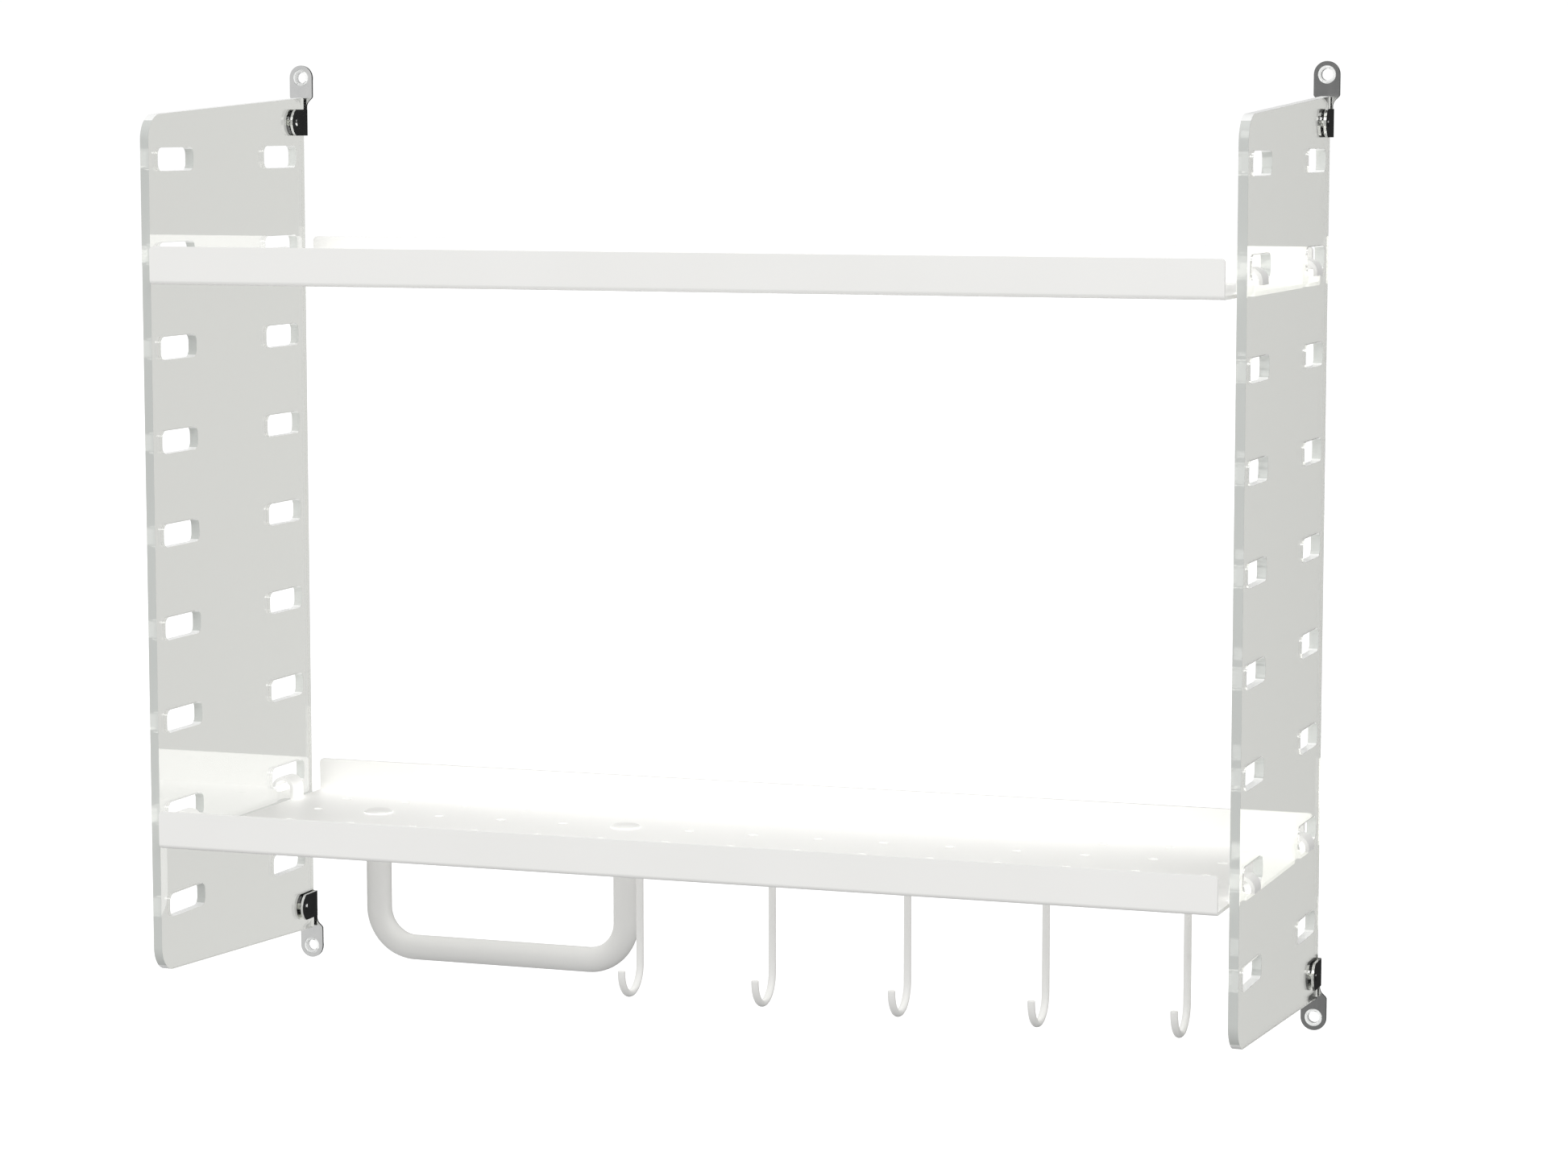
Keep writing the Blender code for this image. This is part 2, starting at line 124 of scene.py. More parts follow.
class Tree:
    """The nodes of one material or of the world."""

    def __init__(self, owner):
        owner.use_nodes = True
        self.nodes = owner.node_tree.nodes
        self.links = owner.node_tree.links
        self.nodes.clear()

    def node(self, kind, settings=None, values=None):
        """Adds a node: settings first, then the values or links of its inputs. Returns its outputs."""
        added = self.nodes.new(kind)
        for key, value in (settings or {}).items():
            if key == "stops":
                ramp = added.color_ramp
                while len(ramp.elements) < len(value):
                    ramp.elements.new(0.5)
                for element, (place, colour) in zip(ramp.elements, value):
                    element.position = place
                    element.color = colour
            else:
                setattr(added, key, value)
        pairs = values.items() if isinstance(values, dict) else enumerate(values or [])
        for key, value in pairs:
            socket = added.inputs[key]
            if isinstance(value, Value):
                self.links.new(value.socket, socket)
            else:
                socket.default_value = value
        return Outputs(self, added)

    def noise(self, scale, detail=3.0, stretch=None):
        place = self.node("ShaderNodeTexCoord")["Object"]
        if stretch:
            place = self.node("ShaderNodeMapping", None, {"Vector": place, "Scale": stretch})["Vector"]
        return self.node("ShaderNodeTexNoise", None, {"Vector": place, "Scale": scale, "Detail": detail})["Fac"]

    def blend(self, factor, first, second):
        """A colour between two colours."""
        inputs = {"Factor": factor, "A": first, "B": second}
        added = self.nodes.new("ShaderNodeMix")
        added.data_type = "RGBA"
        sockets = {"Factor": added.inputs[0], "A": added.inputs[6], "B": added.inputs[7]}
        for key, value in inputs.items():
            if isinstance(value, Value):
                self.links.new(value.socket, sockets[key])
            else:
                sockets[key].default_value = value
        return Value(self, added.outputs[2])


class Outputs:
    """A node's outputs, by name or number."""

    def __init__(self, tree, added):
        self.tree = tree
        self.added = added

    def __getitem__(self, key):
        return Value(self.tree, self.added.outputs[key])


def punched_rims(tree):
    """1 on the upright walls of the shelf floors' punched holes, 0 elsewhere: where the shelf coat gets a painted
    glint.
    """
    place = tree.node("ShaderNodeSeparateXYZ", None, {"Vector": tree.node("ShaderNodeTexCoord")["Object"]})
    facing = tree.node("ShaderNodeSeparateXYZ", None, {"Vector": tree.node("ShaderNodeNewGeometry")["Normal"]})
    across = (place["X"] / PITCH + 0.5).math("FLOORED_MODULO", 1.0) - 0.5
    along = ((place["Y"] + 29.4 * MM) / PITCH + 0.5).math("FLOORED_MODULO", 1.0) - 0.5
    away = (across ** 2.0 + along ** 2.0).math("SQRT") * PITCH
    upright = facing["Z"].math("ABSOLUTE").math("LESS_THAN", 0.8)
    on_floor = place["X"].math("ABSOLUTE").math("LESS_THAN", 7.5 * PITCH)
    return away.math("LESS_THAN", 3.2 * MM) * upright * on_floor


def white_coat(name, painted_shade, glint):
    """Satin white powder coat: a fine orange peel, faint unevenness and a little handling dust. Painted light: a
    painted glint on the punched hole walls, a painted glow in reflections, through clear plastic and in bounced light,
    and painted shade that darkens whole copies.
    """
    material = bpy.data.materials.new(name)
    tree = Tree(material)
    peel = tree.noise(780.0, 2.0)
    cloud = tree.noise(14.0, 4.0)
    speck = tree.noise(2600.0, 1.0)
    # Painted shade: both colours are scaled down by the given factor, so the darker copies carry painted shade.
    dull = (0.86 * painted_shade, 0.857 * painted_shade, 0.835 * painted_shade, 1)
    clean = (0.90 * painted_shade, 0.897 * painted_shade, 0.88 * painted_shade, 1)
    colour = tree.blend(cloud, dull, clean)
    bump = tree.node(
        "ShaderNodeBump", None, {"Strength": 0.22, "Distance": 0.00006, "Height": peel + speck * 0.35}
    )["Normal"]
    coat = {"Base Color": colour, "Roughness": 0.36 + cloud * 0.1 + peel * 0.06, "IOR": 1.48, "Normal": bump}
    # Painted glint: the punched hole walls glow white, for camera rays only.
    glow = tree.blend(punched_rims(tree), (0, 0, 0, 1), (1, 1, 1, 1))
    painted_emission = {"Emission Color": glow, "Emission Strength": glint}
    seen = tree.node("ShaderNodeBsdfPrincipled", None, coat | painted_emission)["BSDF"]
    # Painted glow: the coat glows in reflections and through clear plastic (first strength) and glows less in bounced
    # light (second), though it is no lamp; camera rays see the coat without this glow.
    painted_glows = []
    for strength in (MIRROR_PAINTED_GLOW, BOUNCE_PAINTED_GLOW):
        painted_emission = {"Emission Color": (1.0, 1.0, 0.99, 1), "Emission Strength": strength}
        painted_glows.append(tree.node("ShaderNodeBsdfPrincipled", None, coat | painted_emission)["BSDF"])
    path = tree.node("ShaderNodeLightPath")
    bounced = tree.node("ShaderNodeMixShader", None, [path["Is Diffuse Ray"], *painted_glows])[0]
    shader = tree.node("ShaderNodeMixShader", None, [path["Is Camera Ray"], bounced, seen])[0]
    tree.node("ShaderNodeOutputMaterial", None, {"Surface": shader})
    return material


def bright_chrome():
    """Bright chrome plate with faint polishing lines and finger smudges."""
    material = bpy.data.materials.new("bright_chrome")
    tree = Tree(material)
    lines = tree.noise(900.0, 2.0, (1.0, 1.0, 0.08))
    smudge = tree.noise(160.0, 4.0)
    colour = tree.blend(smudge, (0.66, 0.67, 0.67, 1), (0.80, 0.80, 0.79, 1))
    bump = tree.node(
        "ShaderNodeBump", None, {"Strength": 0.12, "Distance": 0.00003, "Height": lines}
    )["Normal"]
    shader = tree.node(
        "ShaderNodeBsdfPrincipled",
        None,
        {
            "Base Color": colour,
            "Metallic": 1.0,
            "Roughness": 0.05 + smudge * 0.12 + lines * 0.04,
            "Normal": bump,
        },
    )["BSDF"]
    tree.node("ShaderNodeOutputMaterial", None, {"Surface": shader})
    return material


def clear_sheet(name, tint, edge_haze):
    """Cast clear plastic: light bends through it, its faces mirror the shelves, and sawn edges that face forwards or
    lie level are hazier, with the level ones painted near white as a painted highlight.
    """
    material = bpy.data.materials.new(name)
    tree = Tree(material)
    cloud = tree.noise(9.0, 4.0)
    scuff = tree.noise(420.0, 3.0, (1.0, 0.15, 1.0))
    surface = tree.node("ShaderNodeNewGeometry")
    normal = tree.node("ShaderNodeSeparateXYZ", None, {"Vector": surface["Normal"]})
    level = normal["Z"].math("ABSOLUTE").math("GREATER_THAN", 0.75)
    # Haze only on outer faces that face forwards or lie level: the real frosting of sawn edges, given by facing
    # direction, so the forward edge strips show a hazy grey while the back edges stay clear; partly painted light.
    forward_or_level_edges = normal["Y"].math("LESS_THAN", -0.3).math("MAXIMUM", level) * (1.0 - surface["Backfacing"])
    milled = tree.blend(cloud, (0.62, 0.64, 0.62, 1), (0.72, 0.74, 0.71, 1))
    clear = tree.node(
        "ShaderNodeBsdfPrincipled",
        None,
        {
            "Base Color": tint,
            "Roughness": scuff * 0.008,
            "IOR": 1.49,
            "Transmission Weight": 1.0,
        },
    )["BSDF"]
    haze = tree.node(
        "ShaderNodeBsdfPrincipled",
        None,
        {
            # Level faces, such as the slot walls, are painted near white: a painted highlight.
            "Base Color": tree.blend(level, milled, (0.97, 0.975, 0.965, 1)),
            "Roughness": 0.3 + scuff * 0.25,
        },
    )["BSDF"]
    share = forward_or_level_edges * edge_haze + cloud * 0.008 + 0.002
    shader = tree.node("ShaderNodeMixShader", None, [share, clear, haze])[0]
    tree.node("ShaderNodeOutputMaterial", None, {"Surface": shader})
    return material


def set_studio():
    """A white studio: direct views see pure white, and gloss sees a dim room that is bright on its left."""
    scene = bpy.context.scene
    scene.view_settings.view_transform = "Standard"
    world = bpy.data.worlds.new("studio")
    scene.world = world
    tree = Tree(world)
    path = tree.node("ShaderNodeLightPath")
    way = tree.node("ShaderNodeSeparateXYZ", None, {"Vector": tree.node("ShaderNodeTexCoord")["Generated"]})
    sky = way["Z"] * SKY_TOP + way["Y"] * -SKY_FRONT + way["X"] * SKY_RIGHT + SKY
    left = (way["X"] * -2.5 - 0.3).math("MAXIMUM", 0.0).math("MINIMUM", 1.0)
    room = left * 0.92 + 0.025
    veiled = (way["X"] * VEIL_SLOPE + BEHIND_CLEAR).math("MAXIMUM", 0.55).math("MINIMUM", 1.05)
    strength = path["Is Glossy Ray"] * (room - sky) + sky
    strength = path["Is Transmission Ray"] * (veiled - strength) + strength
    strength = path["Is Camera Ray"] * (1.02 - strength) + strength
    light = tree.node("ShaderNodeBackground", None, {"Color": (1, 1, 1, 1), "Strength": strength})[0]
    tree.node("ShaderNodeOutputWorld", None, {"Surface": light})
    softbox("front_right_box", (1.3, -2.4, 1.9), (0, -0.05, -0.1), (1.2, 1.2), FRONT_BOX)
    softbox("top_box", (-0.2, -0.7, 2.2), (0, -0.1, 0), (1.6, 1.0), TOP_BOX)

    floor_material = bpy.data.materials.new("pale_floor")
    tree = Tree(floor_material)
    path = tree.node("ShaderNodeLightPath")
    grain = tree.noise(3.0, 2.0)
    pale = tree.node(
        "ShaderNodeBsdfPrincipled",
        None,
        {
            "Base Color": tree.blend(grain, (0.88, 0.88, 0.88, 1), (0.90, 0.90, 0.90, 1)),
            "Roughness": 0.9,
            "Emission Color": (1, 1, 1, 1),
            "Emission Strength": 0.45,
        },
    )["BSDF"]
    tree.node("ShaderNodeOutputMaterial", None, {"Surface": pale})
    bm = bmesh.new()
    bmesh.ops.create_circle(bm, cap_ends=True, segments=96, radius=30.0)
    bmesh.ops.translate(bm, verts=bm.verts, vec=(0, 0, -0.9))
    mesh = bpy.data.meshes.new("pale_floor")
    bm.to_mesh(mesh)
    bm.free()
    mesh.materials.append(floor_material)
    floor = bpy.data.objects.new("pale_floor", mesh)
    floor.visible_glossy = False
    floor.visible_diffuse = False
    floor.visible_transmission = False
    bpy.context.scene.collection.objects.link(floor)


# ---------------------------------------------------------------- bmesh helpers


def keep(bm, name, material, smooth=38.0):
    """Makes an object of a finished bmesh, at the origin."""
    bmesh.ops.remove_doubles(bm, verts=bm.verts, dist=1e-6)
    bmesh.ops.recalc_face_normals(bm, faces=bm.faces)
    mesh = bpy.data.meshes.new(name)
    bm.to_mesh(mesh)
    bm.free()
    mesh.materials.append(material)
    piece = bpy.data.objects.new(name, mesh)
    bpy.context.scene.collection.objects.link(piece)
    return round_off(piece, smooth)


def round_off(piece, smooth=38.0):
    """Smooth shading across soft edges only."""
    mesh = piece.data
    mesh.polygons.foreach_set("use_smooth", [True] * len(mesh.polygons))
    mesh.set_sharp_from_angle(angle=math.radians(smooth))
    return piece


def apply_modifiers(piece):
    bpy.context.view_layer.update()
    ready = piece.evaluated_get(bpy.context.evaluated_depsgraph_get())
    piece.data = bpy.data.meshes.new_from_object(ready)
    piece.modifiers.clear()


def dress(piece, smooth=38.0, **modifiers):
    """Adds modifiers in order, each as TYPE={settings}, and applies them."""
    for kind, settings in modifiers.items():
        change = piece.modifiers.new(kind, kind)
        for key, value in settings.items():
            setattr(change, key, value)
    apply_modifiers(piece)
    return round_off(piece, smooth)


def cut(piece, operation, tools):
    for tool in tools:
        dress(piece, BOOLEAN={"operation": operation, "solver": "EXACT", "object": tool})
        bpy.data.objects.remove(tool, do_unlink=True)
    return piece


def join_frame(piece, body, slot, *nodes):
    """The piece stands for its CAD nodes and moves with their body; its flat faces are shaded flat."""
    even = piece.modifiers.new("even_normals", "WEIGHTED_NORMAL")
    even.keep_sharp = True
    even.weight = 100
    apply_modifiers(piece)
    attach(piece, body)
    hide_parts(*nodes)
    return piece


def lathe(profile, at, axis, steps=40, closed=False):
    """A turned shape: the profile lists (radius, height) along the axis."""
    bm = bmesh.new()
    turn = Vector(axis).to_track_quat("Z", "Y").to_matrix().to_4x4()
    place = Matrix.Translation(at) @ turn
    line = [bm.verts.new(place @ Vector((radius, 0, height))) for radius, height in profile]
    for first, second in zip(line, line[1:]):
        bm.edges.new((first, second))
    if closed:
        bm.edges.new((line[-1], line[0]))
    bmesh.ops.spin(
        bm, geom=bm.verts[:] + bm.edges[:], cent=at, axis=place.to_3x3() @ Z,
        angle=math.tau, steps=steps, use_merge=True,
    )
    bmesh.ops.remove_doubles(bm, verts=bm.verts, dist=1e-6)
    if not closed:
        rims = [edge for edge in bm.edges if len(edge.link_faces) == 1]
        if rims:
            bmesh.ops.holes_fill(bm, edges=rims, sides=0)
    return bm


def rod(radius, start, way, moves, sides=28, trim=0.0):
    """A round rod pushed out along its moves: ("go", vector) or ("turn", centre, axis, degrees, steps)."""
    bm = bmesh.new()
    place = Matrix.Translation(start) @ Vector(way).to_track_quat("Z", "Y").to_matrix().to_4x4()
    bmesh.ops.create_circle(bm, cap_ends=True, radius=radius, segments=sides, matrix=place)
    bm.faces.ensure_lookup_table()
    face = bm.faces[0]
    first = True
    for move in moves:
        if move[0] == "go":
            grown = bmesh.ops.extrude_face_region(bm, geom=[face], use_keep_orig=first)
            verts = [item for item in grown["geom"] if isinstance(item, bmesh.types.BMVert)]
            bmesh.ops.translate(bm, verts=verts, vec=move[1])
            face = [item for item in grown["geom"] if isinstance(item, bmesh.types.BMFace)][0]
        else:
            _, centre, axis, degrees, steps = move
            spun = bmesh.ops.spin(
                bm, geom=[face], cent=centre, axis=axis, angle=math.radians(degrees), steps=steps
            )
            face = [item for item in spun["geom_last"] if isinstance(item, bmesh.types.BMFace)][0]
        first = False
    if trim:
        bmesh.ops.bevel(
            bm, geom=list(face.edges), offset=trim, affect="EDGES", segments=2, profile=0.5, material=-1
        )
    return bm


def outline(bm, corners, radii, segments=8):
    """A loop of edges through the corners in one plane, each corner rounded to its radius."""
    verts = [bm.verts.new(corner) for corner in corners]
    face = bm.faces.new(verts)
    for vert, radius in zip(verts, radii):
        if radius:
            bmesh.ops.bevel(
                bm, geom=[vert], offset=radius, affect="VERTICES", segments=segments, profile=0.5, material=-1
            )
    return face


def loops_to_sheet(bm):
    """Turns nested loops into one flat sheet with holes."""
    bmesh.ops.delete(bm, geom=bm.faces[:], context="FACES_ONLY")
    bmesh.ops.triangle_fill(bm, use_beauty=True, use_dissolve=False, edges=bm.edges[:])
    bmesh.ops.dissolve_limit(bm, angle_limit=0.001, verts=bm.verts[:], edges=bm.edges[:])


# ---------------------------------------------------------------- side panels

SLOT_PITCH = 50.31 * MM
SLOT_TOP = 206.7 * MM
SLOT_COLUMNS = (-161.8 * MM, -36.1 * MM)
SLOT_HALF_LENGTH = 20.4 * MM
SLOT_HALF_HEIGHT = 6.2 * MM


def make_panel(name, side):
    low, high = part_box(name)
    middle = (low.x + high.x) / 2
    front_half = 230.1 * MM
    bm = bmesh.new()
    corners = [
        (middle, high.y, low.z),
        (middle, high.y, high.z),
        (middle, low.y, front_half),
        (middle, low.y, -front_half),
    ]
    outline(bm, corners, [1.0 * MM, 1.0 * MM, 13.0 * MM, 13.0 * MM], 10)
    for row in range(9):
        z = SLOT_TOP - row * SLOT_PITCH
        for y in SLOT_COLUMNS:
            loop = [
                (middle, y - SLOT_HALF_LENGTH, z - SLOT_HALF_HEIGHT),
                (middle, y + SLOT_HALF_LENGTH, z - SLOT_HALF_HEIGHT),
                (middle, y + SLOT_HALF_LENGTH, z + SLOT_HALF_HEIGHT),
                (middle, y - SLOT_HALF_LENGTH, z + SLOT_HALF_HEIGHT),
            ]
            outline(bm, loop, [4.0 * MM] * 4, 6)
    for end in (-1, 1):
        spot = Matrix.Translation((middle, -17.1 * MM, end * 225.9 * MM)) @ Matrix.Rotation(math.pi / 2, 4, "Y")
        bmesh.ops.create_circle(bm, cap_ends=True, radius=1.8 * MM, segments=24, matrix=spot)
    loops_to_sheet(bm)
    panel = keep(bm, name + "_clear", ACRYLIC)
    dress(
        panel,
        SOLIDIFY={"thickness": high.x - low.x, "offset": 0.0},
        BEVEL={"width": 0.35 * MM, "segments": 2, "limit_method": "ANGLE", "angle_limit": math.radians(60)},
    )
    join_frame(panel, "side_frames", "clear_acrylic", name)


# ---------------------------------------------------------------- shelves

PITCH = 37.24 * MM
SHEET = 2.0 * MM
HOLE_RADIUS = 2.6 * MM
FIRST_ROW = -29.4 * MM
STRAP_COLUMNS = (-161.9 * MM, -36.2 * MM)
STRAP_HALF = 6.75 * MM
SLIT = 0.6 * MM
BEND_START = 286.8 * MM
LEG_X = 289.0 * MM
ARCH_X = 294.65 * MM
ARCH_RADIUS = 5.65 * MM
ARCH_RISE = 8.1 * MM
LEG_DROP = 1.9 * MM


def near(value, target, slack=1e-5):
    return abs(value - target) < slack


def make_shelf(name):
    low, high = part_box(name)
    floor = low.z + SHEET / 2
    rim_top = low.z + 20.0 * MM
    front, back = low.y + SHEET / 2, high.y - SHEET / 2
    end = 290.0 * MM
    middle = FIRST_ROW - 2 * PITCH
    bm = bmesh.new()
    bmesh.ops.create_grid(bm, x_segments=16, y_segments=6, size=1.0)
    bmesh.ops.scale(bm, verts=bm.verts, vec=(8 * PITCH, 3 * PITCH, 1))
    bmesh.ops.translate(bm, verts=bm.verts, vec=(0, middle, floor))
    for vert in bm.verts:
        if abs(vert.co.x) > 7.5 * PITCH:
            vert.co.x = math.copysign(end, vert.co.x)
        if vert.co.y > middle + 2.5 * PITCH:
            vert.co.y = back
        if vert.co.y < middle - 2.5 * PITCH:
            vert.co.y = front
    holes = [vert for vert in bm.verts if not vert.is_boundary]
    centres = [vert.co.copy() for vert in holes]
    for side in (-1, 1):
        ends = [item for item in bm.faces if side * item.calc_center_median().x > 7 * PITCH]
        for x in (275.0 * MM, BEND_START):
            bisect(bm, lambda face, s=side: s * face.calc_center_median().x > 7 * PITCH, (side * x, 0, 0), X)
        for y in STRAP_COLUMNS:
            for offset in (-STRAP_HALF - SLIT, -STRAP_HALF, STRAP_HALF, STRAP_HALF + SLIT):
                bisect(
                    bm,
                    lambda face, s=side: s * face.calc_center_median().x > 275.5 * MM,
                    (0, y + offset, 0),
                    Y,
                )
        gone = []
        for face in bm.faces:
            spot = face.calc_center_median()
            if side * spot.x > BEND_START and any(abs(spot.y - y) < STRAP_HALF + SLIT for y in STRAP_COLUMNS):
                gone.append(face)
        bmesh.ops.delete(bm, geom=gone, context="FACES")
        for y in STRAP_COLUMNS:
            add_strap(bm, side, y, floor, low.z)
    for at in (front, back):
        rim = [
            edge
            for edge in bm.edges
            if all(near(vert.co.y, at) and near(vert.co.z, floor) for vert in edge.verts)
        ]
        grown = bmesh.ops.extrude_edge_only(bm, edges=rim)
        raised = [item for item in grown["geom"] if isinstance(item, bmesh.types.BMVert)]
        bmesh.ops.translate(bm, verts=raised, vec=(0, 0, rim_top - floor))
    folds = [
        edge
        for edge in bm.edges
        if all(near(vert.co.z, floor) and (near(vert.co.y, front) or near(vert.co.y, back)) for vert in edge.verts)
        and len(edge.link_faces) == 2
    ]
    bmesh.ops.bevel(bm, geom=folds, offset=1.4 * MM, affect="EDGES", segments=5, profile=0.5, material=-1)
    corners = [vert for vert in bm.verts if near(abs(vert.co.x), end) and near(vert.co.z, rim_top)]
    bmesh.ops.bevel(bm, geom=corners, offset=2.0 * MM, affect="VERTICES", segments=5, profile=0.5, material=-1)
    holes = [vert for vert in bm.verts if any((vert.co - centre).length < 1e-5 for centre in centres)]
    bmesh.ops.bevel(
        bm, geom=holes, offset=HOLE_RADIUS, affect="VERTICES", segments=6, profile=0.5, material=-1
    )
    punched = []
    for face in bm.faces:
        spot = face.calc_center_median()
        centre = min(centres, key=lambda point: (point - spot).length_squared)
        if all((vert.co - centre).length < HOLE_RADIUS * 1.05 for vert in face.verts):
            punched.append(face)
            for vert in face.verts:
                vert.co = centre + (vert.co - centre).normalized() * HOLE_RADIUS
    bmesh.ops.delete(bm, geom=punched, context="FACES_ONLY")
    shelf = keep(bm, name + "_coated", SHELF_WHITE)
    dress(
        shelf,
        SOLIDIFY={"thickness": SHEET, "offset": 0.0, "use_even_offset": True},
        BEVEL={"width": 0.3 * MM, "segments": 2, "limit_method": "ANGLE", "angle_limit": math.radians(50)},
    )
    join_frame(shelf, name, "white_coat", name)


def bisect(bm, wanted, point, normal):
    """Cuts a line across the wanted faces."""
    faces = [face for face in bm.faces if wanted(face)]
    edges = {edge for face in faces for edge in face.edges}
    verts = {vert for face in faces for vert in face.verts}
    bmesh.ops.bisect_plane(
        bm, geom=faces + list(edges) + list(verts), dist=1e-6, plane_co=point, plane_no=normal
    )


def add_strap(bm, side, y, floor, bottom):
    """Bends one strap up from the floor's end, over its arch and down outside the panel."""
    root = [
        edge
        for edge in bm.edges
        if all(near(vert.co.x, side * BEND_START) and abs(vert.co.y - y) < STRAP_HALF + 1e-5 for vert in edge.verts)
    ]
    bend = LEG_X - BEND_START
    arch_z = bottom + ARCH_RISE
    strip = root + list({vert for edge in root for vert in edge.verts})
    spun = bmesh.ops.spin(
        bm, geom=strip, cent=(side * BEND_START, y, floor + bend), axis=-side * Y,
        angle=math.pi / 2, steps=6,
    )["geom_last"]
    painted_glows = push_edge(bm, spun, (0, 0, arch_z - floor - bend))
    spun = bmesh.ops.spin(
        bm, geom=painted_glows, cent=(side * ARCH_X, y, arch_z), axis=side * Y, angle=math.pi, steps=16
    )["geom_last"]
    push_edge(bm, spun, (0, 0, -LEG_DROP))


def push_edge(bm, strip, way):
    edges = [item for item in strip if isinstance(item, bmesh.types.BMEdge)]
    grown = bmesh.ops.extrude_edge_only(bm, edges=edges)["geom"]
    verts = [item for item in grown if isinstance(item, bmesh.types.BMVert)]
    bmesh.ops.translate(bm, verts=verts, vec=way)
    ends = [
        item for item in grown if isinstance(item, bmesh.types.BMEdge) and all(vert in verts for vert in item.verts)
    ]
    return ends + verts


# ---------------------------------------------------------------- hooks, towel bar and caps


def make_hook(name):
    low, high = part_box(name)
    radius = 2.0 * MM
    bend = 13.4 * MM
    x = (low.x + high.x) / 2
    head = high.z - 2.2 * MM
    y = low.y + radius + 2 * bend
    bend_z = low.z + radius + bend
    moves = [
        ("go", Vector((0, 0, bend_z - head - 1.0 * MM))),
        ("turn", (x, y - bend, bend_z), -X, 180.0, 36),
        ("go", Vector((0, 0, 0.9 * MM))),
    ]
    bm = rod(radius, (x, y, head + 1.0 * MM), (0, 0, -1), moves, 28, 0.25 * MM)
    hook = keep(bm, name + "_wire", WHITE)
    profile = [(0.0, 2.2), (2.0, 2.1), (3.4, 1.6), (4.2, 0.9), (4.5, 0.45), (4.4, 0.12), (4.1, 0.0), (0.0, 0.0)]
    top = lathe([(r * MM, h * MM) for r, h in profile], (x, y, head), Z, 36)
    cut(hook, "UNION", [keep(top, "head", WHITE)])
    join_frame(hook, name, "white_coat", name)


def make_towel_bar():
    low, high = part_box("towel_bar")
    radius = 7.0 * MM
    bend = 22.0 * MM
    y = (low.y + high.y) / 2
    left, right = -6 * PITCH, -2 * PITCH
    bottom = -234.0 * MM
    moves = [
        ("go", Vector((0, 0, bottom + bend - high.z))),
        ("turn", (left + bend, y, bottom + bend), -Y, 90.0, 18),
        ("go", Vector((right - left - 2 * bend, 0, 0))),
        ("turn", (right - bend, y, bottom + bend), -Y, 90.0, 18),
        ("go", Vector((0, 0, high.z - bottom - bend))),
    ]
    bar = keep(rod(radius, (left, y, high.z), (0, 0, -1), moves, 48), "towel_bar_coated", BAR_WHITE)
    taps = []
    for x in (left, right):
        profile = [(0.0, 1.0), (2.4, 1.0), (2.4, -12.8), (0.0, -14.0)]
        taps.append(keep(lathe([(r * MM, h * MM) for r, h in profile], (x, y, high.z), Z, 24), "tap", BAR_WHITE))
    cut(bar, "DIFFERENCE", taps)
    dress(
        bar,
        BEVEL={"width": 0.3 * MM, "segments": 2, "limit_method": "ANGLE", "angle_limit": math.radians(50)},
    )
    join_frame(bar, "lower_shelf", "white_coat", "towel_bar")


def make_bar_cap(name):
    low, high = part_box(name)
    seat = high.z - 2.13 * MM
    x, y = (low.x + high.x) / 2, (low.y + high.y) / 2
    profile = [(0.0, 2.2), (2.2, 2.16), (4.4, 1.95), (6.2, 1.5), (7.4, 0.95), (7.9, 0.5), (8.0, 0.25), (7.9, 0.05)]
    profile += [(7.7, 0.0), (2.0, 0.0), (2.0, -13.5), (1.5, -14.0), (0.0, -14.0)]
    cap = keep(lathe([(r * MM, h * MM) for r, h in profile], (x, y, seat), Z, 48), name + "_dome", WHITE)
    join_frame(cap, "lower_shelf", "white_coat", name)


# ---------------------------------------------------------------- wall brackets


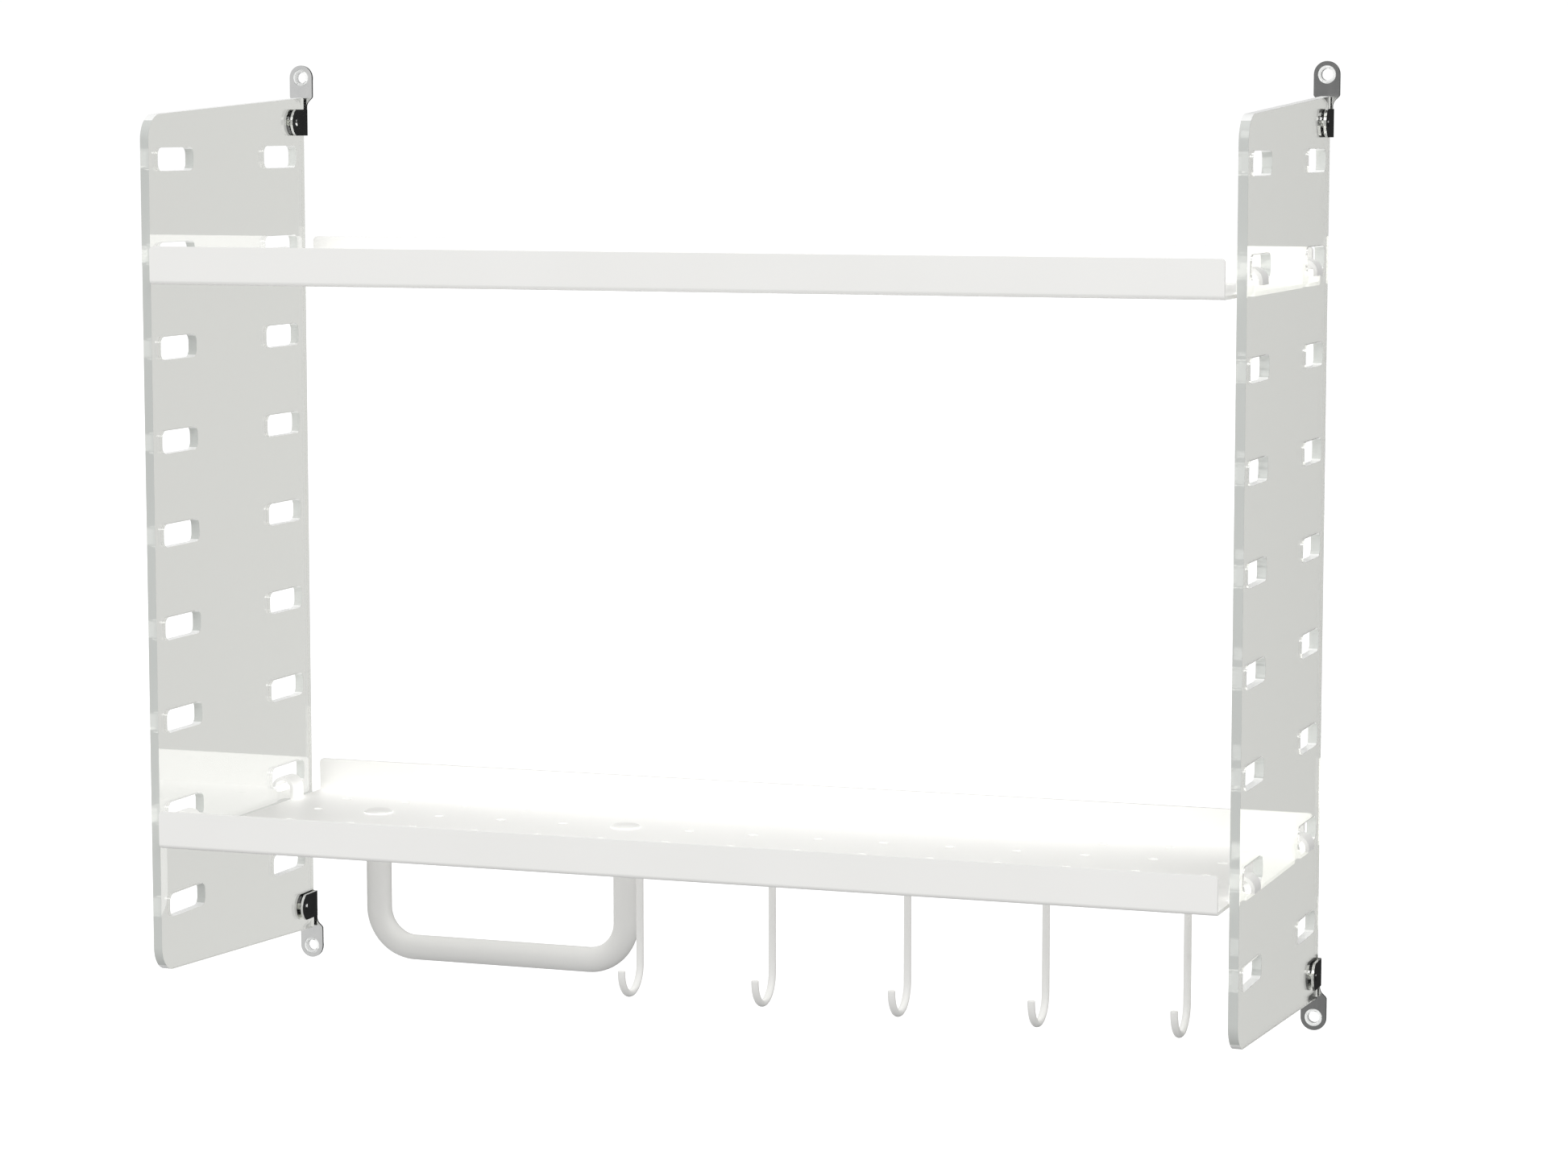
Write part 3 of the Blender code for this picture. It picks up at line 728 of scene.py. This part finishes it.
def make_bracket(name, side, end):
    """The clip round the panel and its screw tab; end is 1 at the top and -1 at the bottom."""
    x = side * 296.5 * MM
    half = 3.55 * MM
    web_y = -3.55 * MM
    arc_start = -18.7 * MM
    middle, reach = end * 225.9 * MM, 7.4 * MM
    bm = bmesh.new()
    web = [bm.verts.new((x + u * half, web_y, middle + v * reach)) for u, v in ((-1, -1), (1, -1), (1, 1), (-1, 1))]
    bm.faces.new(web)
    sides = [edge for edge in bm.edges if near(edge.verts[0].co.x, edge.verts[1].co.x)]
    grown = bmesh.ops.extrude_edge_only(bm, edges=sides)["geom"]
    tips = [item for item in grown if isinstance(item, bmesh.types.BMVert)]
    bmesh.ops.translate(bm, verts=tips, vec=(0, arc_start - web_y, 0))
    noses = [edge for edge in bm.edges if all(vert in tips for vert in edge.verts)]
    split = bmesh.ops.subdivide_edges(bm, edges=noses, cuts=13)["geom_inner"]
    for item in split:
        if isinstance(item, bmesh.types.BMVert):
            across = item.co.z - middle
            item.co.y = arc_start + 3.0 * MM - math.sqrt((8.0 * MM) ** 2 - across**2) + 0.04 * MM
    folds = [
        edge for edge in bm.edges if all(near(vert.co.y, web_y) for vert in edge.verts) and len(edge.link_faces) == 2
    ]
    bmesh.ops.bevel(bm, geom=folds, offset=1.1 * MM, affect="EDGES", segments=5, profile=0.5, material=-1)
    clip = keep(bm, name + "_plated", CHROME)
    dress(clip, SOLIDIFY={"thickness": 1.5 * MM, "offset": 0.0, "use_even_offset": True})

    bm = bmesh.new()
    neck, tab = 3.3 * MM, 7.0 * MM
    heights = [232.3, 236.6, 240.1, 258.2]
    left = [(x - w, -2.95 * MM, end * h * MM) for w, h in zip((neck, neck, tab, tab), heights)]
    right = [(2 * x - a, b, c) for a, b, c in reversed(left)]
    outline(bm, left + right, [0, 1.8 * MM, 0.7 * MM, 6.95 * MM, 6.95 * MM, 0.7 * MM, 1.8 * MM, 0], 9)
    spot = Matrix.Translation((x, -2.95 * MM, end * 251.2 * MM)) @ Matrix.Rotation(math.pi / 2, 4, "X")
    bmesh.ops.create_circle(bm, cap_ends=True, radius=4.7 * MM, segments=40, matrix=spot)
    loops_to_sheet(bm)
    strip = keep(bm, "strip", CHROME)
    dress(strip, SOLIDIFY={"thickness": 1.3 * MM, "offset": 0.0})
    cut(clip, "UNION", [strip])
    drill = lathe([(0, -8 * MM), (1.8 * MM, -8 * MM), (1.8 * MM, 8 * MM), (0, 8 * MM)], (x, -17.1 * MM, middle), X, 24)
    cut(clip, "DIFFERENCE", [keep(drill, "drill", CHROME)])
    dress(
        clip,
        BEVEL={"width": 0.18 * MM, "segments": 2, "limit_method": "ANGLE", "angle_limit": math.radians(50)},
    )
    join_frame(clip, "side_frames", "chrome", name)


def make_pin(name):
    low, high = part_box(name)
    at = (low + high) / 2
    seat = 4.4
    half = [(0.0, seat + 0.8), (0.9, seat + 0.76), (1.7, seat + 0.6), (2.15, seat + 0.35), (2.3, seat + 0.1), (2.3, seat)]
    half += [(1.4, seat)]
    profile = half + [(r, -h) for r, h in reversed(half)]
    pin = keep(lathe([(r * MM, h * MM) for r, h in profile], at, X, 32), name + "_plated", CHROME)
    join_frame(pin, "side_frames", "chrome", name)


def make_bushing(name):
    low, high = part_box(name)
    x, z = (low.x + high.x) / 2, (low.z + high.z) / 2
    nose = -low.y / MM
    profile = [(3.1, 0.15), (3.25, 0.0), (6.0, 0.0), (6.15, 0.15), (6.15, 1.85), (6.0, 2.0), (4.4, 2.0)]
    profile += [(4.4, nose - 0.3), (4.1, nose), (3.3, nose), (3.1, nose - 0.2)]
    ring = keep(lathe([(r * MM, h * MM) for r, h in profile], (x, 0, z), -Y, 48, True), name + "_clear", BUSH)
    notches = []
    for turn in (0.0, math.pi / 2):
        bm = bmesh.new()
        bmesh.ops.create_cube(bm, size=1.0)
        bmesh.ops.scale(bm, verts=bm.verts, vec=(12 * MM, 1.0 * MM, 0.7 * MM))
        bmesh.ops.rotate(bm, verts=bm.verts, matrix=Matrix.Rotation(turn + 0.5, 3, "Y"))
        bmesh.ops.translate(bm, verts=bm.verts, vec=(x, low.y, z))
        notches.append(keep(bm, "notch", BUSH))
    cut(ring, "DIFFERENCE", notches)
    join_frame(ring, "side_frames", "clear_plastic", name)


set_camera()
set_studio()
ACRYLIC = clear_sheet("clear_acrylic", (0.995, 1.0, 0.958, 1), 0.85)
BUSH = clear_sheet("clear_bushing", (0.98, 0.99, 0.98, 1), 0.05)
# One white powder coat in three copies: the shelf copy carries a painted glint, and the wire and bar copies are
# darkened as painted shade.
SHELF_WHITE = white_coat("shelf_powder_coat", 1.0, RIM_GLINT)
WHITE = white_coat("wire_powder_coat", 0.93, 0.0)
BAR_WHITE = white_coat("bar_powder_coat", 0.85, 0.0)
CHROME = bright_chrome()

for side_name, side in (("left", -1), ("right", 1)):
    make_panel(side_name + "_panel", side)
    for end_name, end in (("top", 1), ("bottom", -1)):
        corner = end_name + "_" + side_name
        make_bracket(corner + "_bracket", side, end)
        make_pin(corner + "_pin")
        make_bushing(corner + "_bushing")
for shelf_name in ("upper_shelf", "lower_shelf"):
    make_shelf(shelf_name)
make_towel_bar()
for cap_name in ("left_bar_cap", "right_bar_cap"):
    make_bar_cap(cap_name)
for number in range(1, 6):
    make_hook(f"hook_{number}")
